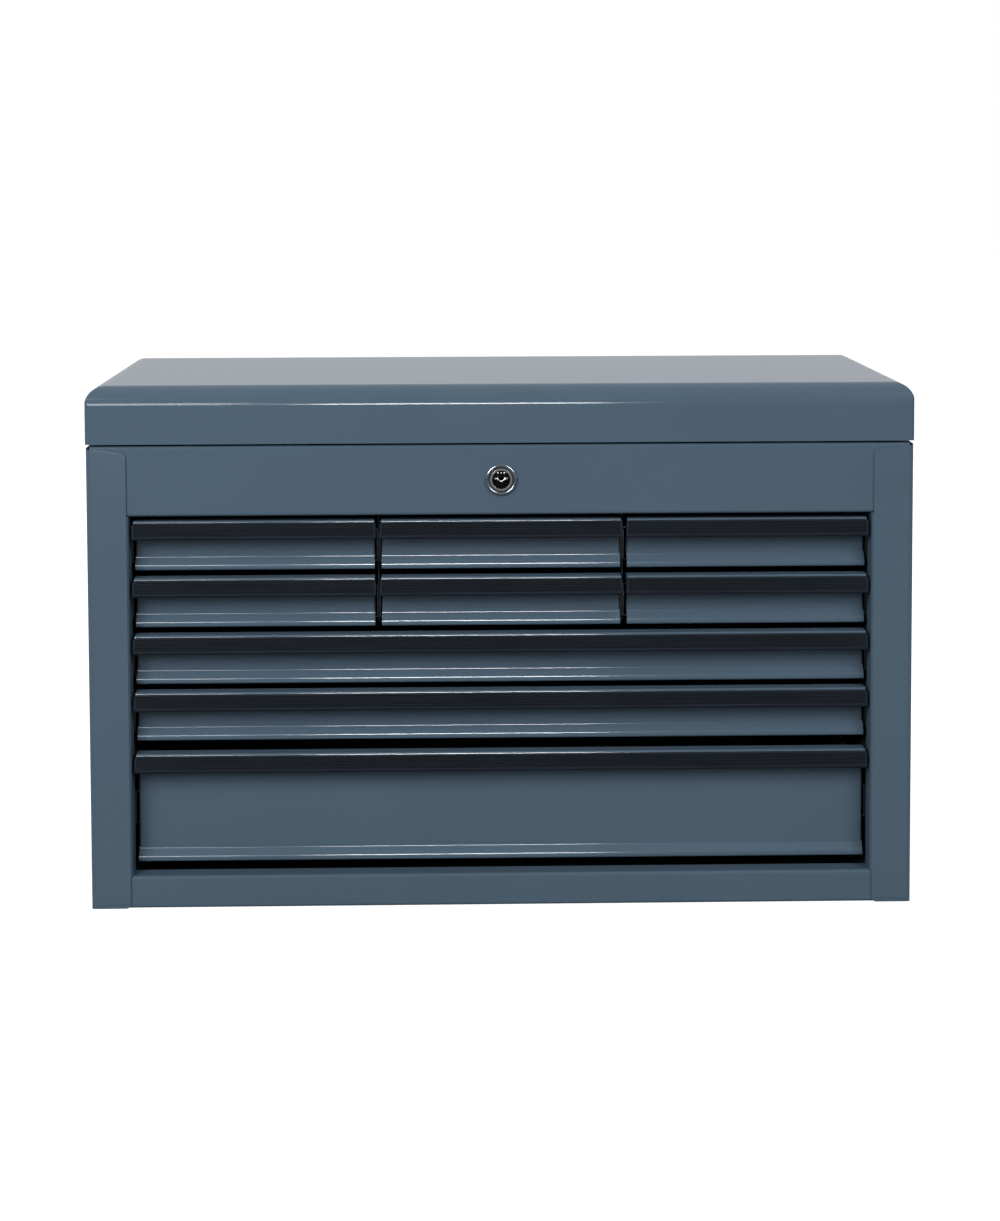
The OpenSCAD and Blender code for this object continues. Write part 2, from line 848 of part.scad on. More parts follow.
// A trim ring with a rounded crown, pressed over the barrel's flange
module lock_bezel() {
    inner_r = collar_r + groove_w;
    crown_r = (bezel_r - inner_r) / 2;
    color("silver")
        lock_frame()
            rotate_extrude()
                difference() {
                    union() {
                        translate([inner_r, 0])
                            square([bezel_r - inner_r, bezel_h - crown_r]);
                        translate([inner_r + crown_r, bezel_h - crown_r])
                            circle(r = crown_r);
                    }
                    translate([inner_r - 1, -1])
                        square([flange_r - inner_r + 1, flange_h + 1]);
                    translate([0, -bezel_h])
                        square([2 * bezel_r, bezel_h]);
                }
}

module lock_nut() {
    color("silver")
        lock_frame()
            translate([0, 0, -sheet_t - nut_h])
                difference() {
                    cylinder(r = barrel_r + nut_rim, h = nut_h, $fn = 6);
                    translate([0, 0, -1])
                        cylinder(r = barrel_r + 0.05, h = nut_h + 2);
                }
}

module lock_plug() {
    key_w = 1.45 * plug_r;
    key_depth = 12;
    plug_front = bezel_h - plug_inset;
    color("dimgray")
        lock_frame()
            difference() {
                union() {
                    translate([0, 0, cam_z])
                        cylinder(r = plug_r, h = plug_front - cam_z);
                    translate([-tail_w / 2, -tail_w / 2, cam_z - cam_t - 1])
                        cube([tail_w, tail_w, cam_t + 2]);
                }
                translate([-key_w / 2, -key_h / 2, plug_front - key_depth])
                    cube([key_w, key_h, key_depth + 1]);
            }
}

// The cam points sideways when unlocked; its bent tip catches the strike when turned up
module lock_cam() {
    tip_l = strike_gap + cam_t + 1;
    color("silver")
        lock_frame()
            difference() {
                union() {
                    translate([0, 0, cam_z - cam_t])
                        cylinder(r = cam_w / 2 + 1.5, h = cam_t);
                    translate([0, -cam_w / 2, cam_z - cam_t])
                        cube([cam_l, cam_w, cam_t]);
                    translate([cam_l - cam_t, -cam_w / 2, cam_z - cam_t])
                        cube([cam_t, cam_w, cam_t + tip_l]);
                }
                translate([-tail_w / 2 - 0.05, -tail_w / 2 - 0.05, cam_z - cam_t - 1])
                    cube([tail_w + 0.1, tail_w + 0.1, cam_t + 2]);
            }
}

// An angle on the lid's hem, with a notch that the cam's tip swings into
module lid_strike() {
    strike_w = 2 * (barrel_r + strike_reach);
    strike_low = lock_z + barrel_r + 1.2;
    strike_top = lid_z + sheet_t + cam_t;
    strike_back_y = front_y + sheet_t - cam_z - strike_gap;
    leg_l = strike_back_y - (lid_front_y + sheet_t);
    color("silver")
        difference() {
            across(strike_w)
                translate([strike_back_y, strike_low])
                    rotate(90)
                        fold([[strike_top - strike_low, 90], [leg_l]], cam_t, cam_t / 2);
            lock_frame()
                translate([0, 0, cam_z])
                    linear_extrude(height = cam_t + strike_gap + 2)
                        intersection() {
                            difference() {
                                circle(r = cam_l + notch_clearance);
                                circle(r = cam_l - cam_t - notch_clearance);
                            }
                            translate([-cam_w / 2 - 1.5, 0])
                                square(cam_l + 2 * notch_clearance);
                        }
        }
}

// ---- Side handles ----

module handle_plate() {
    plate_l = handle_span + 2 * plate_margin;
    color("silver")
        difference() {
            union() {
                translate([body_w / 2, -plate_l / 2, handle_z - plate_h / 2])
                    cube([plate_t, plate_l, plate_h]);
                for (side = [0, 1])
                    mirror([0, side, 0])
                        translate([ear_x, handle_span / 2, handle_z])
                            rotate([90, 0, 0]) {
                                cylinder(r = ear_r, h = ear_l);
                                translate([-ear_r, -ear_r, 0])
                                    cube([ear_r, 2 * ear_r, ear_l]);
                            }
            }
            translate([ear_x, handle_span / 2 + 1, handle_z])
                rotate([90, 0, 0])
                    cylinder(r = rod_r + rod_clearance, h = handle_span + 2);
        }
    color("silver")
        for (side = [-1, 1], z = [-1, 1])
            translate([body_w / 2 + plate_t, side * (plate_l / 2 - rivet_in), handle_z + z * rivet_up])
                rotate([0, 90, 0])
                    rivet_head();
}

module handle_plates() {
    handle_plate();
    mirror([1, 0, 0]) handle_plate();
}

// Half of the hanging handle: pivot end, elbow, leg, elbow and half of the grip
module half_handle() {
    leg_y = handle_span / 2 + rod_r + 2 + rod_bend_r / 2;
    pivot_in = ear_l - 1;
    translate([0, handle_span / 2 - pivot_in, 0])
        rotate([-90, 0, 0])
            cylinder(r = rod_r, h = leg_y - rod_bend_r - (handle_span / 2 - pivot_in));
    translate([0, leg_y - rod_bend_r, -rod_bend_r])
        rotate([90, 0, 90])
            rotate_extrude(angle = 90)
                translate([rod_bend_r, 0])
                    circle(r = rod_r);
    translate([0, leg_y, rod_bend_r - handle_drop])
        cylinder(r = rod_r, h = handle_drop - 2 * rod_bend_r);
    translate([0, leg_y - rod_bend_r, rod_bend_r - handle_drop])
        rotate([90, 0, 90])
            rotate_extrude(angle = -90)
                translate([rod_bend_r, 0])
                    circle(r = rod_r);
    translate([0, -eps, -handle_drop])
        rotate([-90, 0, 0])
            cylinder(r = rod_r, h = leg_y - rod_bend_r + eps);
    translate([0, -eps, -handle_drop])
        rotate([-90, 0, 0])
            cylinder(r = grip_r, h = handle_span / 2 - rod_bend_r + eps);
}

module right_handle() {
    color("dimgray")
        translate([ear_x, 0, handle_z])
            for (side = [0, 1])
                mirror([0, side, 0])
                    half_handle();
}

module left_handle() mirror([1, 0, 0]) right_handle();

// ---- Assembly ----

left_side_panel();
right_side_panel();
back_panel();
bottom_pan();
front_rail();
till_floor();
slide_mounts();
drawer_dividers();
cabinet_slides();
hinge_cabinet_leaf();
hinge_pin();
lid_bumpers();
lid();
hinge_lid_leaf();
lid_strike();
lid_stops();
lock_body();
lock_bezel();
lock_nut();
lock_plug();
lock_cam();
handle_plates();
left_handle();
right_handle();
for (n = [1:9]) {
    drawer_front(n);
    drawer_pull(n);
    drawer_box(n);
    drawer_ball_cages(n);
}
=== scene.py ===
import math

import bmesh
import bpy
from mathutils import Matrix, Vector

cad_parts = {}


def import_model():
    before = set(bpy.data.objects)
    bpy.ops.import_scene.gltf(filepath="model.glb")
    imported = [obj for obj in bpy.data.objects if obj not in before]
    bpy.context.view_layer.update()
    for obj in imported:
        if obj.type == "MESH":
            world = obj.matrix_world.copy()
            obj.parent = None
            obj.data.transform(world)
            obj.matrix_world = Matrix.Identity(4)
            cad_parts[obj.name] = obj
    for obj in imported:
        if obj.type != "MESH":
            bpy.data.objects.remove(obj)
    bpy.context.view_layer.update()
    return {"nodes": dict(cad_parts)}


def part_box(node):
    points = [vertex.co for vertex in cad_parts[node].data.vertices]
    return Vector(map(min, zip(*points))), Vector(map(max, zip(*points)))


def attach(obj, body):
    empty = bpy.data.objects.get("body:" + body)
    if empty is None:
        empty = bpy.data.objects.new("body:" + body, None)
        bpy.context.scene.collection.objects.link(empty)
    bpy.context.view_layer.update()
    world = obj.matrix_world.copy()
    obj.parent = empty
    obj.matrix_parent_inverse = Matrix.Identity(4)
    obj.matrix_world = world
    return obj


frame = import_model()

MM = 0.001
DRAWERS = range(1, 10)

# ---- The photograph ----
# Pixels are of its 1000 x 1221 frame. Blender's sensor width spans the longer side.
PHOTO_W = 1000
PHOTO_H = 1221
SENSOR_MM = 36.0

# Where the camera stood: fitted to the edges of the cabinet and lid in the photograph, with
# some tilt kept, so that the shift stays small
CAMERA_AT = Vector((-0.0461, -2.1787, 0.5982))
CAMERA_YAW = math.radians(-1.287)
CAMERA_PITCH = math.radians(-4.0)
CAMERA_ROLL = math.radians(-0.180)
FOCAL_PX = 2558.5
AXIS_PX = (500.0, 340.6)

# ---- Colours, linear ----
PAINT = (0.064, 0.099, 0.137)
PULL_BLACK = (0.0070, 0.0100, 0.0140)
ZINC = (0.60, 0.61, 0.61)
CHROME = (0.72, 0.73, 0.74)
# The bezel's chrome, darkened and tinted blue-grey: a painted reflection of the blue paint round it
BEZEL_PAINTED_REFLECTION = (0.30, 0.35, 0.40)
LOCK_FACE = (0.020, 0.021, 0.024)
# Zinc darkened for the cabinet's slides: painted shade, so that their front ends stay dark in the
# gaps between drawers
SLIDE_ZINC_PAINTED_SHADE = (0.12, 0.125, 0.13)
RUBBER = (0.015, 0.015, 0.016)
LINER = (0.022, 0.023, 0.025)
FLOOR = (0.3, 0.3, 0.3)

# ---- Studio ----
# The floor's own glow where the camera sees it, and in reflections
FLOOR_GLOW = 0.88
FLOOR_SHEEN = 0.1
# How much of its colour the floor loses in reflections
FLOOR_DIM = 0.75
# Half the width of the floor
FLOOR_REACH = 14.0
# The room behind the camera in reflections, and the room as a light
ROOM = 0.12
AMBIENT = 0.25
# Where the lamps aim, their distance from there, and the elevation and size of the fills
LAMP_AIM = Vector((0, 0, 0.2))
LAMP_REACH = 3.0
FILL_RISE = 32
FILL_SIZE = (1.4, 1.2)
# The plane of the reflectors, in front of the object
REFLECTOR_Y = -2.3

# ---- Handles ----
# The grip ends this far from the handle's middle, with 0.05 mm to spare
GRIP_HALF = 52.05 * MM
# A level between the pivots and the grip, measured down from the top of the handle
GRIP_BELOW = 35 * MM


# ---- Material helpers ----

class Shader:
    """A node material under construction: makes nodes, joins them and sets plain inputs."""

    def __init__(self, name, color, metallic=0.0, roughness=0.4):
        self.material = bpy.data.materials.new(name)
        self.material.use_nodes = True
        self.tree = self.material.node_tree
        self.bsdf = self.tree.nodes["Principled BSDF"]
        self.put(self.bsdf, "Base Color", (*color, 1.0))
        self.put(self.bsdf, "Metallic", metallic)
        self.put(self.bsdf, "Roughness", roughness)
        self.place = self.add("ShaderNodeTexCoord").outputs["Object"]

    def add(self, kind, **settings):
        node = self.tree.nodes.new(kind)
        for key, value in settings.items():
            setattr(node, key, value)
        return node

    def put(self, node, key, value):
        """Joins an output to an input, or sets the input to a plain value."""
        if isinstance(value, bpy.types.NodeSocket):
            self.tree.links.new(value, node.inputs[key])
        else:
            node.inputs[key].default_value = value

    def stretched(self, scale):
        node = self.add("ShaderNodeMapping")
        self.put(node, "Vector", self.place)
        self.put(node, "Scale", scale)
        return node.outputs["Vector"]

    def noise(self, grain, detail=2.0, stretch=(1, 1, 1), distortion=0.0):
        """Noise with grains about that many metres across, longer on an axis stretched below 1."""
        node = self.add("ShaderNodeTexNoise")
        self.put(node, "Vector", self.stretched(stretch))
        self.put(node, "Scale", 1.0 / grain)
        self.put(node, "Detail", detail)
        self.put(node, "Distortion", distortion)
        return node.outputs["Fac"]

    def spread(self, value, low, high, start=0.3, end=0.7):
        """Maps start to end, by default the middle of a noise, to a range from low to high."""
        node = self.add("ShaderNodeMapRange")
        self.put(node, "Value", value)
        self.put(node, "From Min", start)
        self.put(node, "From Max", end)
        self.put(node, "To Min", low)
        self.put(node, "To Max", high)
        return node.outputs["Result"]

    def math(self, operation, a, b):
        node = self.add("ShaderNodeMath", operation=operation)
        self.put(node, 0, a)
        self.put(node, 1, b)
        return node.outputs[0]

    def tint(self, color, value):
        """A colour made lighter or darker by a factor."""
        node = self.add("ShaderNodeVectorMath", operation="SCALE")
        self.put(node, 0, color)
        self.put(node, "Scale", value)
        return node.outputs["Vector"]

    def mix(self, factor, a, b):
        node = self.add("ShaderNodeMix", data_type="RGBA")
        self.put(node, "Factor", factor)
        colours = [i for i in node.inputs if i.type == "RGBA"]
        for socket, value in zip(colours, (a, b)):
            if isinstance(value, bpy.types.NodeSocket):
                self.tree.links.new(value, socket)
            else:
                socket.default_value = (*value, 1.0)
        return next(o for o in node.outputs if o.type == "RGBA")

    def color(self, value):
        self.put(self.bsdf, "Base Color", value)

    def roughness(self, value):
        self.put(self.bsdf, "Roughness", value)

    def bump(self, height, depth, rounding=None):
        """A value as relief, depth in metres, over edges rounded by a radius if one is given."""
        node = self.add("ShaderNodeBump")
        self.put(node, "Strength", 1.0)
        self.put(node, "Distance", depth)
        self.put(node, "Height", height)
        if rounding:
            edge = self.add("ShaderNodeBevel", samples=4)
            self.put(edge, "Radius", rounding)
            self.put(node, "Normal", edge.outputs["Normal"])
        self.put(self.bsdf, "Normal", node.outputs["Normal"])


def powder_coat(name, color):
    """Semi-gloss powder coat: a rough body under a thin clear film, with orange peel, a fine
    speckle and a faint cloudiness."""
    s = Shader(name, color, roughness=0.5)
    peel = s.noise(1.6 * MM, detail=1.5)
    speckle = s.spread(s.noise(0.35 * MM, detail=1.0), 0.95, 1.05)
    cloud = s.spread(s.noise(140 * MM, detail=3.0), 0.97, 1.03)
    s.color(s.tint(color, s.math("MULTIPLY", speckle, cloud)))
    s.roughness(s.spread(s.noise(25 * MM, detail=4.0), 0.46, 0.54))
    s.put(s.bsdf, "IOR", 1.5)
    s.put(s.bsdf, "Specular IOR Level", 0.0)
    s.put(s.bsdf, "Coat Weight", 0.4)
    s.put(s.bsdf, "Coat Roughness", 0.1)
    s.bump(peel, 0.012 * MM)
    return s.material


def moulded_plastic(name, color, roughness=0.5):
    """Matt moulding: fine spark texture, faint drag lines, painted shade in the grooves and painted
    light on the ribs.
    """
    s = Shader(name, color, roughness=roughness)
    drag = s.noise(1.2 * MM, detail=2.0, stretch=(0.02, 1, 1))
    # Painted shade and light: ambient occlusion darkens the colour in the grooves and lightens it on
    # the ribs' lands
    painted_groove_shade = s.add("ShaderNodeAmbientOcclusion", samples=8)
    s.put(painted_groove_shade, "Distance", 1.0 * MM)
    depth = s.spread(painted_groove_shade.outputs["AO"], 0.15, 1.6, start=0.6, end=1.0)
    s.color(s.tint(color, s.math("MULTIPLY", depth, s.spread(drag, 0.8, 1.25))))
    s.roughness(s.spread(s.noise(6 * MM, detail=3.0), roughness - 0.05, roughness + 0.06))
    s.put(s.bsdf, "Specular IOR Level", 0.1)
    s.bump(s.noise(0.3 * MM, detail=1.0), 0.01 * MM)
    return s.material


def zinc_plate(name, color=ZINC):
    """Zinc on rolled steel: long faint rolling lines and a soft spangle."""
    s = Shader(name, color, metallic=1.0, roughness=0.34)
    lines = s.noise(0.8 * MM, detail=3.0, stretch=(1, 0.03, 1))
    spangle = s.spread(s.noise(9 * MM, detail=2.0, distortion=0.6), 0.9, 1.06)
    s.color(s.tint(color, spangle))
    s.roughness(s.spread(lines, 0.26, 0.42))
    s.bump(lines, 0.006 * MM, rounding=0.2 * MM)
    return s.material


def chrome_plate(name, color=CHROME, roughness=0.1):
    """Polished plate with faint wipe marks."""
    s = Shader(name, color, metallic=1.0, roughness=roughness)
    wipe = s.noise(1.5 * MM, detail=4.0, stretch=(1, 0.2, 0.2))
    s.color(s.tint(color, s.spread(wipe, 0.96, 1.03)))
    s.roughness(s.spread(wipe, roughness * 0.7, roughness * 1.5))
    s.bump(wipe, 0.002 * MM, rounding=0.2 * MM)
    return s.material


def soft_rubber(name, color, grain=0.5 * MM):
    """Dull rubber with a pebbled skin."""
    s = Shader(name, color, roughness=0.7)
    s.color(s.tint(color, s.spread(s.noise(grain, detail=2.0), 0.8, 1.25)))
    s.roughness(s.spread(s.noise(4 * MM, detail=3.0), 0.62, 0.8))
    s.bump(s.noise(grain, detail=1.0), 0.04 * MM, rounding=0.3 * MM)
    return s.material


def handle_finish(name, top_z):
    """Chrome on the bent rod and black rubber on the grip, told apart by place."""
    s = Shader(name, CHROME, metallic=1.0, roughness=0.12)
    axes = s.add("ShaderNodeSeparateXYZ")
    s.put(axes, "Vector", s.place)
    beside = s.math("LESS_THAN", s.math("ABSOLUTE", axes.outputs["Y"], 0.0), GRIP_HALF)
    below = s.math("LESS_THAN", axes.outputs["Z"], top_z - GRIP_BELOW)
    grip = s.math("MULTIPLY", beside, below)
    mottle = s.tint(RUBBER, s.spread(s.noise(0.8 * MM), 0.8, 1.3))
    s.color(s.mix(grip, CHROME, mottle))
    s.put(s.bsdf, "Metallic", s.math("SUBTRACT", 1.0, grip))
    s.roughness(s.spread(grip, 0.12, 0.6, start=0.0, end=1.0))
    s.bump(s.math("MULTIPLY", s.noise(0.6 * MM), grip), 0.05 * MM, rounding=0.3 * MM)
    return s.material


# ---- Mesh helpers ----

def mesh_piece(name, bm, material, smooth=False):
    """An object in the scene from a mesh under construction."""
    bmesh.ops.recalc_face_normals(bm, faces=bm.faces)
    mesh = bpy.data.meshes.new(name)
    bm.to_mesh(mesh)
    bm.free()
    for face in mesh.polygons:
        face.use_smooth = smooth
    obj = bpy.data.objects.new(name, mesh)
    bpy.context.scene.collection.objects.link(obj)
    obj.data.materials.append(material)
    return obj


def loft(rings, closed_ends=True):
    """A tube through rings of equal length, with a face on each end if they are closed."""
    bm = bmesh.new()
    rows = [[bm.verts.new(p) for p in ring] for ring in rings]
    count = len(rings[0])
    for a, b in zip(rows, rows[1:]):
        for i in range(count):
            j = (i + 1) % count
            bm.faces.new((a[i], a[j], b[j], b[i]))
    if closed_ends:
        bm.faces.new(rows[0])
        bm.faces.new(rows[-1])
    return bm


def quarter_turn(x, z, radius, start, steps=8):
    """Points of a quarter of a circle round a centre, from a start angle."""
    points = []
    for k in range(steps + 1):
        a = start + math.pi / 2 * k / steps
        points.append((x + radius * math.cos(a), z + radius * math.sin(a)))
    return points


# ---- Finishes of the CAD nodes ----

def finish_nodes():
    paint = powder_coat("cabinet_paint", PAINT)
    drawer_paint = powder_coat("drawer_paint", PAINT)
    black = moulded_plastic("pull_plastic", PULL_BLACK)
    zinc = zinc_plate("zinc_steel")
    chrome = chrome_plate("chrome_plate")
    handle_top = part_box("right_handle")[1][2]
    finishes = {
        "left_side_panel": paint, "right_side_panel": paint, "back_panel": paint,
        "bottom_pan": paint, "front_rail": paint, "till_floor": paint,
        "lid": paint, "lid_stops": paint, "drawer_dividers": paint,
        # the slides' dark zinc is painted shade for the gaps between drawers
        "slide_mounts": zinc, "cabinet_slides": zinc_plate("slides_painted_shade", SLIDE_ZINC_PAINTED_SHADE),
        "hinge_cabinet_leaf": zinc, "hinge_lid_leaf": zinc, "hinge_pin": zinc,
        "lock_nut": zinc, "lock_cam": zinc, "lid_strike": zinc,
        "lid_bumpers": soft_rubber("bumper_rubber", RUBBER),
        # the bezel's darker blue-grey chrome is a painted reflection
        "lock_body": chrome, "lock_bezel": chrome_plate("bezel_painted_reflection", BEZEL_PAINTED_REFLECTION, 0.08),
        "lock_plug": chrome_plate("lock_face", LOCK_FACE, 0.16),
        "handle_plates": chrome,
        "left_handle": handle_finish("handle_finish", handle_top),
    }
    finishes["right_handle"] = finishes["left_handle"]
    for n in DRAWERS:
        finishes[f"drawer_{n}_front"] = drawer_paint
        finishes[f"drawer_{n}_box"] = drawer_paint
        finishes[f"drawer_{n}_pull"] = black
        finishes[f"drawer_{n}_ball_cages"] = zinc
    for node, material in finishes.items():
        slots = frame["nodes"][node].data.materials
        slots.clear()
        slots.append(material)


# ---- Lock details ----

def lock_centre():
    """The middle of the plug's front face."""
    low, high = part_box("lock_bezel")
    plug_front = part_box("lock_plug")[0][1]
    return Vector(((low[0] + high[0]) / 2, plug_front, (low[2] + high[2]) / 2))


def lock_leaf(name, half_w, middle, half_height):
    """A thin bright leaf across the keyway. Its middle line, up or down from the lock's centre,
    and half its height follow t from -1 to 1."""
    centre = lock_centre()
    thick = 0.5 * MM
    crease = 0.3 * MM
    dish = 0.35 * MM
    steps = 32
    rings = []
    for k in range(steps + 1):
        t = -1 + 2 * k / steps
        x = centre.x + t * half_w
        z = centre.z + middle(t)
        depth = centre.y + dish * (1 + math.cos(math.pi * t))
        half_h = half_height(t)
        rings.append([
            (x, depth, z - half_h), (x, depth - crease, z), (x, depth, z + half_h),
            (x, depth + thick, z + half_h), (x, depth + thick, z - half_h),
        ])
    leaf = mesh_piece(name, loft(rings), bpy.data.materials["chrome_plate"], True)
    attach(leaf, "lock_turner")


def lock_shutter():
    """The sprung shutter in the keyway: a leaf that dips in its middle and swells at each side."""
    dip, dip_width = 2.5 * MM, 0.42
    swell = 0.45 * MM
    lock_leaf(
        "lock_shutter", 5.2 * MM,
        middle=lambda t: 0.9 * MM - dip * math.exp(-(t / dip_width) ** 2),
        half_height=lambda t: 0.85 * MM + swell * math.sin(math.pi * abs(t)) ** 2,
    )


def lock_hood():
    """The arched lip over the keyway."""
    arch = 1.3 * MM
    lock_leaf(
        "lock_hood", 3.4 * MM,
        middle=lambda t: 2.9 * MM - arch * t * t,
        half_height=lambda t: 0.45 * MM,
    )


def lock_marks():
    """Three plain raised dots above the keyway."""
    centre = lock_centre()
    pitch = 2.6 * MM
    above = 5.3 * MM
    radius = 0.7 * MM
    flat, tall = 0.45, 1.3
    for k in range(3):
        bm = bmesh.new()
        bmesh.ops.create_uvsphere(bm, u_segments=20, v_segments=12, radius=radius)
        bmesh.ops.scale(bm, vec=(1, flat, tall), verts=bm.verts)
        spot = centre + Vector(((k - 1) * pitch, 0, above))
        bmesh.ops.translate(bm, vec=spot, verts=bm.verts)
        dot = mesh_piece(f"lock_mark_{k + 1}", bm, bpy.data.materials["chrome_plate"], True)
        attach(dot, "lock_turner")


def lock_groove_shade(material):
    """A black ring that fills the bottom of the groove round the lock's collar: painted shade of the
    groove.
    """
    centre = lock_centre()
    inner, outer = 8.9 * MM, 9.9 * MM
    front = centre.y + 0.75 * MM
    back = centre.y + 0.95 * MM
    steps = 64
    section = [(inner, front), (outer, front), (outer, back), (inner, back)]
    rings = []
    for k in range(steps):
        a = 2 * math.pi * k / steps
        across, up = math.cos(a), math.sin(a)
        rings.append([(centre.x + r * across, y, centre.z + r * up) for r, y in section])
    rings.append(rings[0])
    groove_shade = mesh_piece("lock_groove_shade", loft(rings, closed_ends=False), material)
    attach(groove_shade, "cabinet")


# ---- Post flanges ----

def post_flange(side, name, material):
    """The folded sheet on the front of a post: its top edge slopes, its inner corners are round."""
    low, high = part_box(f"{name}_side_panel")
    front = low[1]
    cabinet_side = max(abs(low[0]), abs(high[0]))
    outer_x = cabinet_side - 3.0 * MM
    inner_x = cabinet_side - 31.6 * MM
    top_out = high[2] - 2.1 * MM
    top_in = high[2] - 5.6 * MM
    bottom = 3.5 * MM
    bottom_out = bottom - 1.5 * MM
    rise = 0.45 * MM
    radius = 3.5 * MM
    outline = [(outer_x, bottom_out), (outer_x, top_out)]
    outline += quarter_turn(inner_x + radius, top_in - radius, radius, math.pi / 2)
    outline += quarter_turn(inner_x + radius, bottom + radius, radius, math.pi)
    rings = [[(side * x, y, z) for x, z in outline] for y in (front, front - rise)]
    flange = mesh_piece(f"{name}_post_flange", loft(rings), material)
    edge = flange.modifiers.new("edge", "BEVEL")
    edge.width = 0.3 * MM
    edge.segments = 3
    edge.limit_method = "ANGLE"
    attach(flange, "cabinet")


# ---- Drawer liners ----

def drawer_liner(n, material):
    """A ribbed mat that lies on the drawer's floor."""
    sheet = 0.8 * MM
    slide_reach = 7.0 * MM
    play = 1.5 * MM
    rib = 4.0 * MM
    low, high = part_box(f"drawer_{n}_box")
    x0 = low[0] + slide_reach + sheet + play
    x1 = high[0] - slide_reach - sheet - play
    y0 = low[1] + sheet + play
    y1 = high[1] - sheet - play
    floor_z = low[2] + sheet
    groove_z = floor_z + 1.2 * MM
    crest_z = floor_z + 1.9 * MM
    # Where a groove ends and a rib's crest starts and ends, as shares of the pitch
    groove_end, crest_start, crest_end = 0.25, 0.35, 0.9
    count = round((x1 - x0) / rib)
    pitch = (x1 - x0) / count
    profile = [(x0, floor_z)]
    for k in range(count):
        left = x0 + k * pitch
        profile += [
            (left, groove_z), (left + groove_end * pitch, groove_z),
            (left + crest_start * pitch, crest_z), (left + crest_end * pitch, crest_z),
        ]
    profile += [(x1, groove_z), (x1, floor_z)]
    rings = [[(x, y, z) for x, z in profile] for y in (y0, y1)]
    mat = mesh_piece(f"drawer_{n}_liner", loft(rings), material)
    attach(mat, f"drawer_{n}")


# ---- Studio ----

def seen(tree, camera, glossy):
    """One strength for rays from the camera, also through glass, another for reflections, and
    none for the rest."""
    path = tree.nodes.new("ShaderNodeLightPath")

    def math_node(operation, a, b):
        node = tree.nodes.new("ShaderNodeMath")
        node.operation = operation
        for socket, value in zip(node.inputs, (a, b)):
            if isinstance(value, bpy.types.NodeSocket):
                tree.links.new(value, socket)
            else:
                socket.default_value = value
        return node.outputs[0]

    direct = math_node("MAXIMUM", path.outputs["Is Camera Ray"], path.outputs["Is Transmission Ray"])
    return math_node(
        "ADD", math_node("MULTIPLY", direct, camera),
        math_node("MULTIPLY", path.outputs["Is Glossy Ray"], glossy),
    )


def floor():
    """A pale floor that glows almost white to the camera and is dim in reflections."""
    corners = [(-1, -1), (1, -1), (1, 1), (-1, 1)]
    bm = bmesh.new()
    bm.faces.new([bm.verts.new((x * FLOOR_REACH, y * FLOOR_REACH, 0)) for x, y in corners])
    s = Shader("studio_floor", FLOOR, roughness=0.6)
    mottle = s.spread(s.noise(0.4, detail=2.0), 0.985, 1.0)
    glossy = s.add("ShaderNodeLightPath").outputs["Is Glossy Ray"]
    dim = s.math("MULTIPLY", glossy, FLOOR_DIM)
    s.color(s.tint(FLOOR, s.math("SUBTRACT", mottle, dim)))
    s.put(s.bsdf, "Emission Color", (1.0, 1.0, 1.0, 1.0))
    s.put(s.bsdf, "Emission Strength", seen(s.tree, FLOOR_GLOW, FLOOR_SHEEN))
    s.put(s.bsdf, "Specular IOR Level", 0.1)
    ground = mesh_piece("studio_floor", bm, s.material)


def world():
    """White where the camera sees it, a weak light elsewhere, and in reflections brightest
    behind the object and dim behind the camera."""
    w = bpy.data.worlds.new("studio")
    bpy.context.scene.world = w
    w.use_nodes = True
    tree = w.node_tree
    back = tree.nodes["Background"]
    back.inputs["Color"].default_value = (1.0, 1.0, 1.0, 1.0)
    axes = tree.nodes.new("ShaderNodeSeparateXYZ")
    tree.links.new(tree.nodes.new("ShaderNodeTexCoord").outputs["Generated"], axes.inputs[0])
    depth = tree.nodes.new("ShaderNodeMapRange")
    tree.links.new(axes.outputs["Y"], depth.inputs["Value"])
    for key, value in (("From Min", -0.6), ("From Max", 0.4), ("To Min", ROOM), ("To Max", 1.0)):
        depth.inputs[key].default_value = value
    glow = tree.nodes.new("ShaderNodeMath")
    tree.links.new(seen(tree, 1.0 - AMBIENT, depth.outputs["Result"]), glow.inputs[0])
    glow.inputs[1].default_value = AMBIENT
    tree.links.new(glow.outputs[0], back.inputs["Strength"])


def area_lamp(name, at, away, size, power):
    """A rectangular lamp at a point, with its back towards a direction."""
    data = bpy.data.lights.new(name, "AREA")
    data.shape = "RECTANGLE"
    data.size, data.size_y = size
    data.energy = power
    lamp = bpy.data.objects.new(name, data)
    lamp.matrix_world = (
        Matrix.Translation(at) @ away.to_track_quat("Z", "Y").to_matrix().to_4x4()
    )
    bpy.context.scene.collection.objects.link(lamp)
    return lamp


def softbox(name, bearing, rise, size, power):
    """A lamp at a bearing from straight ahead of the front and an elevation, in degrees."""
    turn, tilt = math.radians(bearing), math.radians(rise)
    level = math.cos(tilt)
    away = Vector((math.sin(turn) * level, -math.cos(turn) * level, math.sin(tilt)))
    return area_lamp(name, LAMP_AIM + away * LAMP_REACH, away, size, power)


def fill(name, bearing, power):
    """A softbox beside or behind the object that lights it without showing in its gloss."""
    softbox(name, bearing, FILL_RISE, FILL_SIZE, power).visible_glossy = False


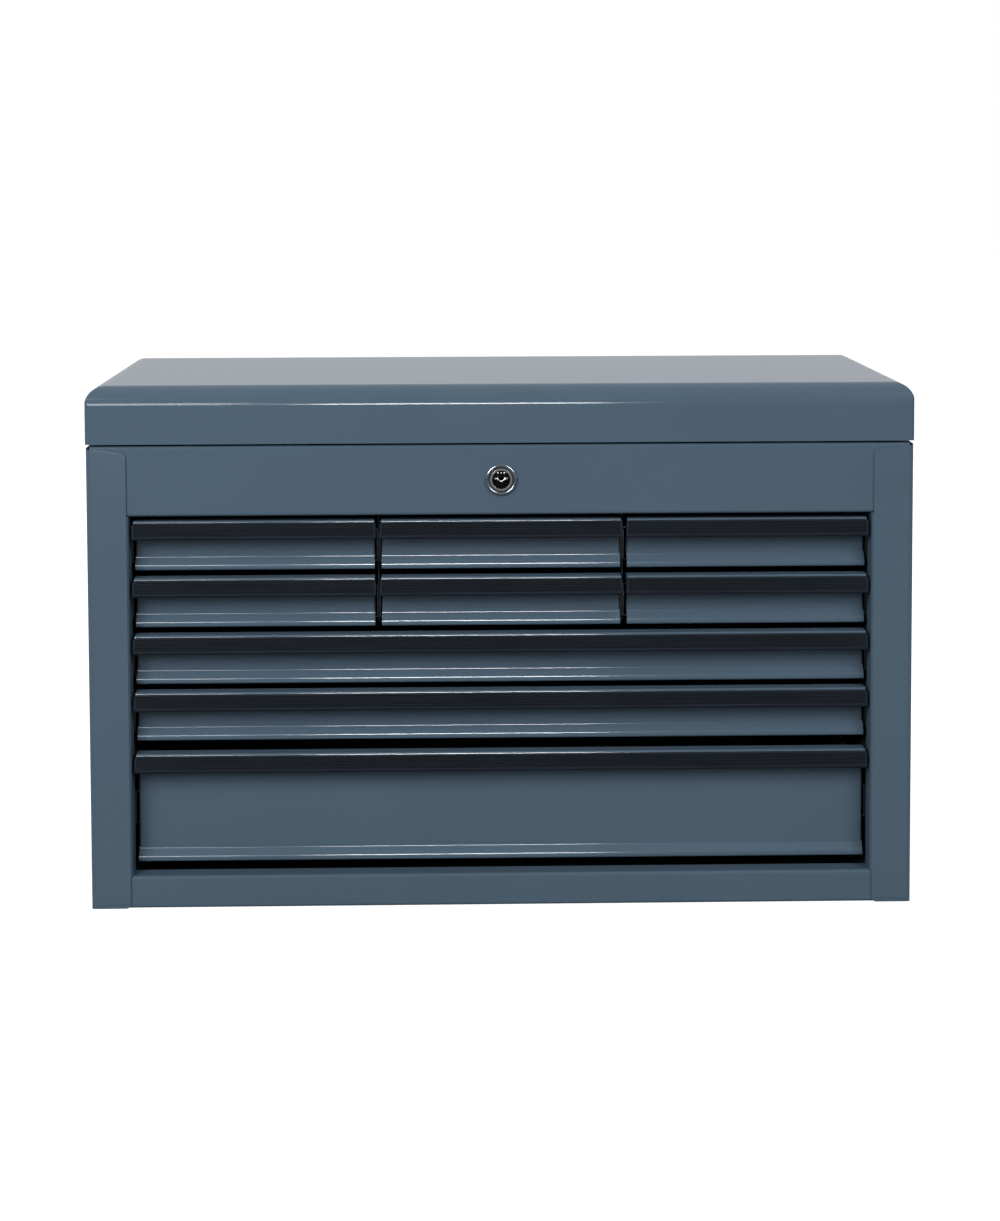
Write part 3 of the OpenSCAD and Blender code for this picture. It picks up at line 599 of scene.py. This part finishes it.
def reflector(name, x_span, z_span, radiance, nodes):
    """An upright panel in front that shows only in the gloss of some objects, as a line of
    light on their bends."""
    width, height = x_span[1] - x_span[0], z_span[1] - z_span[0]
    at = Vector((sum(x_span) / 2, REFLECTOR_Y, sum(z_span) / 2))
    power = radiance * math.pi * width * height
    lamp = area_lamp(name, at, Vector((0, -1, 0)), (width, height), power)
    lamp.visible_diffuse = False
    receivers = bpy.data.collections.new(name)
    for node in nodes:
        receivers.objects.link(bpy.data.objects[node])
    lamp.light_linking.receiver_collection = receivers


def lamps():
    """Two tall keys in front, and fills for the back and sides."""
    softbox("key_left", bearing=-32, rise=26, size=(1.3, 1.5), power=63)
    softbox("key_right", bearing=34, rise=31, size=(1.0, 1.5), power=37)
    fill("fill_back", bearing=180, power=30)
    fill("fill_left", bearing=-105, power=22)
    fill("fill_right", bearing=105, power=22)


def reflectors():
    """The bright lines in the middle of the lid and drawer fronts, and the softer left ends."""
    fronts = [f"drawer_{n}_front" for n in DRAWERS]
    flanges = ["left_post_flange", "right_post_flange"]
    middle = (-0.26, 0.21)
    left = (-0.75, -0.38)
    tall = (0.25, 1.45)
    reflector("lid_line", middle, (0.47, 0.59), radiance=75, nodes=["lid"])
    reflector("lid_glow", left, (0.50, 0.81), radiance=18, nodes=["lid"])
    reflector("front_lines", middle, tall, radiance=70, nodes=fronts)
    reflector("front_glow", left, tall, radiance=26, nodes=fronts + flanges)


def camera():
    """The photograph's camera, turned by yaw, then pitch, then roll."""
    yaw_right = Vector((math.cos(CAMERA_YAW), math.sin(CAMERA_YAW), 0))
    ahead = Vector((
        -math.sin(CAMERA_YAW) * math.cos(CAMERA_PITCH),
        math.cos(CAMERA_YAW) * math.cos(CAMERA_PITCH),
        math.sin(CAMERA_PITCH),
    ))
    level_up = yaw_right.cross(ahead)
    right = math.cos(CAMERA_ROLL) * yaw_right + math.sin(CAMERA_ROLL) * level_up
    up = right.cross(ahead)
    data = bpy.data.cameras.new("camera")
    data.sensor_width = SENSOR_MM
    data.lens = FOCAL_PX / PHOTO_H * SENSOR_MM
    data.shift_x = (PHOTO_W / 2 - AXIS_PX[0]) / PHOTO_H
    data.shift_y = (AXIS_PX[1] - PHOTO_H / 2) / PHOTO_H
    data.clip_end = 100
    cam = bpy.data.objects.new("camera", data)
    turn = Matrix((right, up, -ahead)).transposed().to_4x4()
    cam.matrix_world = Matrix.Translation(CAMERA_AT) @ turn
    bpy.context.scene.collection.objects.link(cam)
    bpy.context.scene.camera = cam


finish_nodes()
lock_shutter()
lock_hood()
lock_marks()
lock_groove_shade(bpy.data.materials["bumper_rubber"])
flange_paint = powder_coat("flange_paint", PAINT)
post_flange(-1, "left", flange_paint)
post_flange(1, "right", flange_paint)
liner_rubber = soft_rubber("liner_rubber", LINER, 0.7 * MM)
for number in DRAWERS:
    drawer_liner(number, liner_rubber)
floor()
world()
lamps()
reflectors()
camera()
bpy.context.scene.view_settings.view_transform = "Standard"
